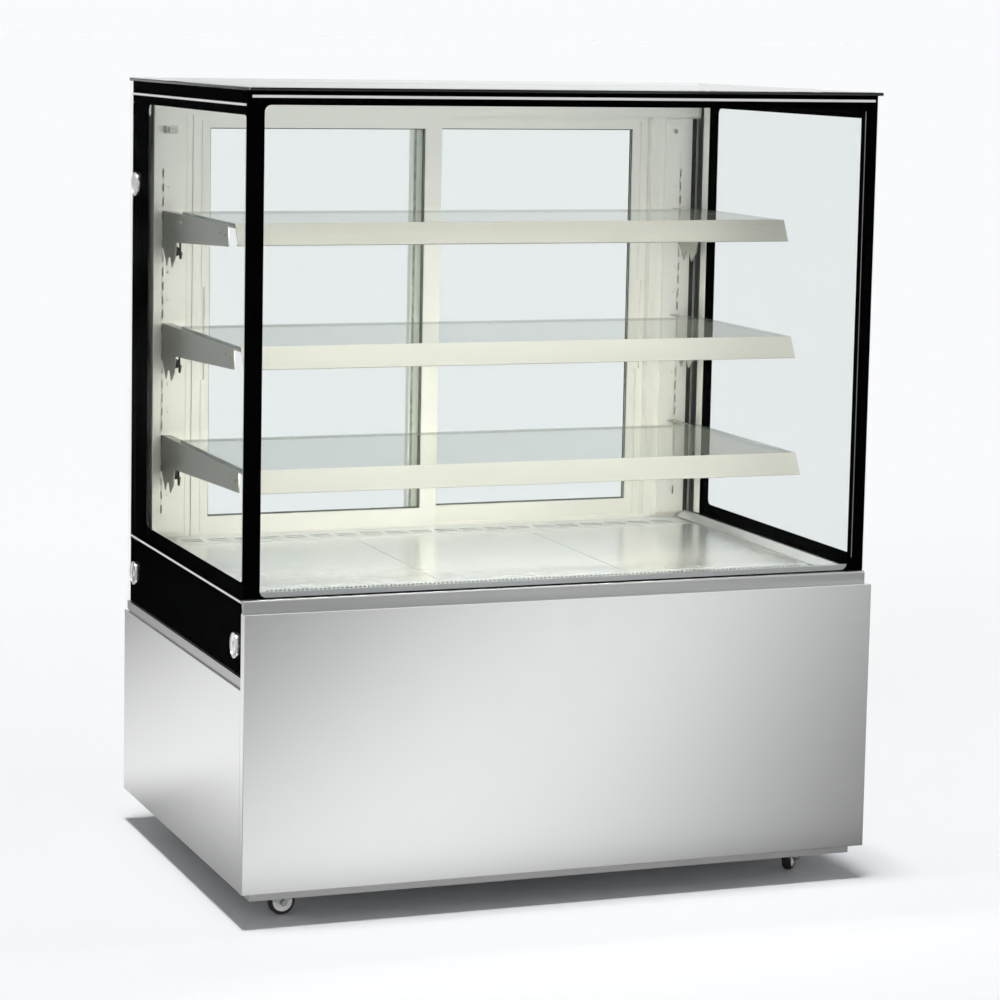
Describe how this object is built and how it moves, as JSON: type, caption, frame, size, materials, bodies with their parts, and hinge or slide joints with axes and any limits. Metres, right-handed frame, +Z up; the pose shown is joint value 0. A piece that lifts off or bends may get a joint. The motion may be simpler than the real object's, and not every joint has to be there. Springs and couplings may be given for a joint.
{
  "type": "refrigerated cake display case",
  "caption": "Upright glass-sided chilled display case with a stainless base, glass shelves, rear sliding doors and swivel castors.",
  "frame": {"origin": "centre of the footprint on the floor", "axes": "+X to the right seen from the front, +Y to the back where the doors are, +Z up"},
  "size_m": [1.2, 0.8, 1.45],
  "materials": {
    "black_enamel": "black enamel printed on glass",
    "black_paint": "black enamelled shell",
    "black_plastic": "black moulded plastic",
    "bracket_steel": "satin stainless bracket plate",
    "castor_zinc": "bright zinc-plated pressing",
    "chrome": "polished cap",
    "clear_glass": "clear toughened glass",
    "copper": "bare copper tube",
    "dark_steel": "grey painted sheet",
    "door_aluminium": "satin anodised profile",
    "fin_aluminium": "thin aluminium fins and blades",
    "foam_shell": "white insulated shell",
    "galvanised": "zinc-coated sheet and tube",
    "green_plastic": "green translucent rocker",
    "grey_plastic": "grey moulded plastic",
    "inner_steel": "bright stainless inside the case",
    "led_white": "warm white diffuser",
    "rail_steel": "satin stainless shelf rail",
    "red_plastic": "red translucent rocker",
    "spacer_bar": "dark spacer bar and sealant",
    "steel_panel": "brushed stainless sheet",
    "wheel_rubber": "black tyre on its hub",
    "white_plastic": "white moulded plastic"
  },
  "bodies": {
    "case": {"air_grilles": "inner_steel", "castor_plates": "castor_zinc", "chassis": "galvanised", "compressor": "black_paint", "condensate_tray": "white_plastic", "condenser_coil": "fin_aluminium", "control_box": "galvanised", "controller": "black_plastic", "deck_pans": "inner_steel", "door_track": "door_aluminium", "evaporator_coil": "fin_aluminium", "fan_motors": "black_paint", "fan_shrouds": "galvanised", "front_outer_glass": "clear_glass", "front_panel": "steel_panel", "glass_borders": "black_enamel", "glass_caps": "chrome", "glass_spacers": "spacer_bar", "inner_glasses": "clear_glass", "insulated_tub": "foam_shell", "led_lamps": "led_white", "led_leads": "black_plastic", "ledge_trims": "steel_panel", "plinth_skirt": "dark_steel", "power_inlet": "black_plastic", "rear_header": "door_aluminium", "rear_jambs": "door_aluminium", "rear_panels": "steel_panel", "refrigerant_pipes": "copper", "shelf_brackets": "bracket_steel", "shelf_glasses": "clear_glass", "shelf_rails": "rail_steel", "shelf_uprights": "inner_steel", "side_outer_glasses": "clear_glass", "side_panels": "steel_panel", "switch_housings": "black_plastic", "top_glass": "clear_glass"},
    "left_door": {"left_door_frame": "door_aluminium", "left_door_glass": "clear_glass"},
    "right_door": {"right_door_frame": "door_aluminium", "right_door_glass": "clear_glass"},
    "evaporator_fan_wheel_left": {"evaporator_fan_left": "black_plastic"},
    "evaporator_fan_wheel_right": {"evaporator_fan_right": "black_plastic"},
    "condenser_fan_wheel": {"condenser_fan": "fin_aluminium"},
    "power_rocker": {"power_rocker": "green_plastic"},
    "light_rocker": {"light_rocker": "red_plastic"},
    "key_set": {"key_set": "grey_plastic"},
    "key_up": {"key_up": "grey_plastic"},
    "key_defrost": {"key_defrost": "grey_plastic"},
    "key_down": {"key_down": "grey_plastic"},
    "castor_front_left": {"castor_fork_front_left": "castor_zinc"},
    "wheel_front_left": {"castor_wheel_front_left": "wheel_rubber"},
    "pedal_front_left": {"brake_pedal_front_left": "castor_zinc"},
    "castor_front_right": {"castor_fork_front_right": "castor_zinc"},
    "wheel_front_right": {"castor_wheel_front_right": "wheel_rubber"},
    "pedal_front_right": {"brake_pedal_front_right": "castor_zinc"},
    "castor_back_left": {"castor_fork_back_left": "castor_zinc"},
    "wheel_back_left": {"castor_wheel_back_left": "wheel_rubber"},
    "castor_back_right": {"castor_fork_back_right": "castor_zinc"},
    "wheel_back_right": {"castor_wheel_back_right": "wheel_rubber"}
  },
  "joints": [
    {"name": "left_door_slide", "type": "slide", "parent": "case", "child": "left_door", "axis": [1, 0, 0], "range_m": [0, 0.454]},
    {"name": "right_door_slide", "type": "slide", "parent": "case", "child": "right_door", "axis": [1, 0, 0], "range_m": [-0.454, 0]},
    {"name": "evaporator_fan_spin_left", "type": "hinge", "parent": "case", "child": "evaporator_fan_wheel_left", "pos_m": [-0.17, 0.045, 0.493], "axis": [0, 1, 0], "continuous": true},
    {"name": "evaporator_fan_spin_right", "type": "hinge", "parent": "case", "child": "evaporator_fan_wheel_right", "pos_m": [0.17, 0.045, 0.493], "axis": [0, 1, 0], "continuous": true},
    {"name": "condenser_fan_spin", "type": "hinge", "parent": "case", "child": "condenser_fan_wheel", "pos_m": [0.3, 0.285, 0.233], "axis": [0, 1, 0], "continuous": true},
    {"name": "power_rocker_tilt", "type": "hinge", "parent": "case", "child": "power_rocker", "pos_m": [-0.3, 0.3944, 0.492], "axis": [1, 0, 0], "range_deg": [-16, 0]},
    {"name": "light_rocker_tilt", "type": "hinge", "parent": "case", "child": "light_rocker", "pos_m": [-0.262, 0.3944, 0.492], "axis": [1, 0, 0], "range_deg": [-16, 0]},
    {"name": "key_set_press", "type": "slide", "parent": "case", "child": "key_set", "axis": [0, -1, 0], "range_m": [0, 0.0008], "stiffness_N_per_m": 400},
    {"name": "key_up_press", "type": "slide", "parent": "case", "child": "key_up", "axis": [0, -1, 0], "range_m": [0, 0.0008], "stiffness_N_per_m": 400},
    {"name": "key_defrost_press", "type": "slide", "parent": "case", "child": "key_defrost", "axis": [0, -1, 0], "range_m": [0, 0.0008], "stiffness_N_per_m": 400},
    {"name": "key_down_press", "type": "slide", "parent": "case", "child": "key_down", "axis": [0, -1, 0], "range_m": [0, 0.0008], "stiffness_N_per_m": 400},
    {"name": "swivel_front_left", "type": "hinge", "parent": "case", "child": "castor_front_left", "pos_m": [-0.485, -0.32, 0.06], "axis": [0, 0, 1], "continuous": true},
    {"name": "wheel_spin_front_left", "type": "hinge", "parent": "castor_front_left", "child": "wheel_front_left", "pos_m": [-0.503, -0.32, 0.025], "axis": [0, -1, 0], "continuous": true},
    {"name": "brake_front_left", "type": "hinge", "parent": "castor_front_left", "child": "pedal_front_left", "pos_m": [-0.503, -0.32, 0.025], "axis": [0, -1, 0], "range_deg": [0, 18]},
    {"name": "swivel_front_right", "type": "hinge", "parent": "case", "child": "castor_front_right", "pos_m": [0.485, -0.32, 0.06], "axis": [0, 0, 1], "continuous": true},
    {"name": "wheel_spin_front_right", "type": "hinge", "parent": "castor_front_right", "child": "wheel_front_right", "pos_m": [0.49657, -0.30621, 0.025], "axis": [-0.766, 0.6428, 0], "continuous": true},
    {"name": "brake_front_right", "type": "hinge", "parent": "castor_front_right", "child": "pedal_front_right", "pos_m": [0.49657, -0.30621, 0.025], "axis": [-0.766, 0.6428, 0], "range_deg": [0, 18]},
    {"name": "swivel_back_left", "type": "hinge", "parent": "case", "child": "castor_back_left", "pos_m": [-0.485, 0.32, 0.06], "axis": [0, 0, 1], "continuous": true},
    {"name": "wheel_spin_back_left", "type": "hinge", "parent": "castor_back_left", "child": "wheel_back_left", "pos_m": [-0.49974, 0.30968, 0.025], "axis": [0.5736, -0.8192, 0], "continuous": true},
    {"name": "swivel_back_right", "type": "hinge", "parent": "case", "child": "castor_back_right", "pos_m": [0.485, 0.32, 0.06], "axis": [0, 0, 1], "continuous": true},
    {"name": "wheel_spin_back_right", "type": "hinge", "parent": "castor_back_right", "child": "wheel_back_right", "pos_m": [0.49879, 0.30843, 0.025], "axis": [0.6428, 0.766, 0], "continuous": true}
  ]
}
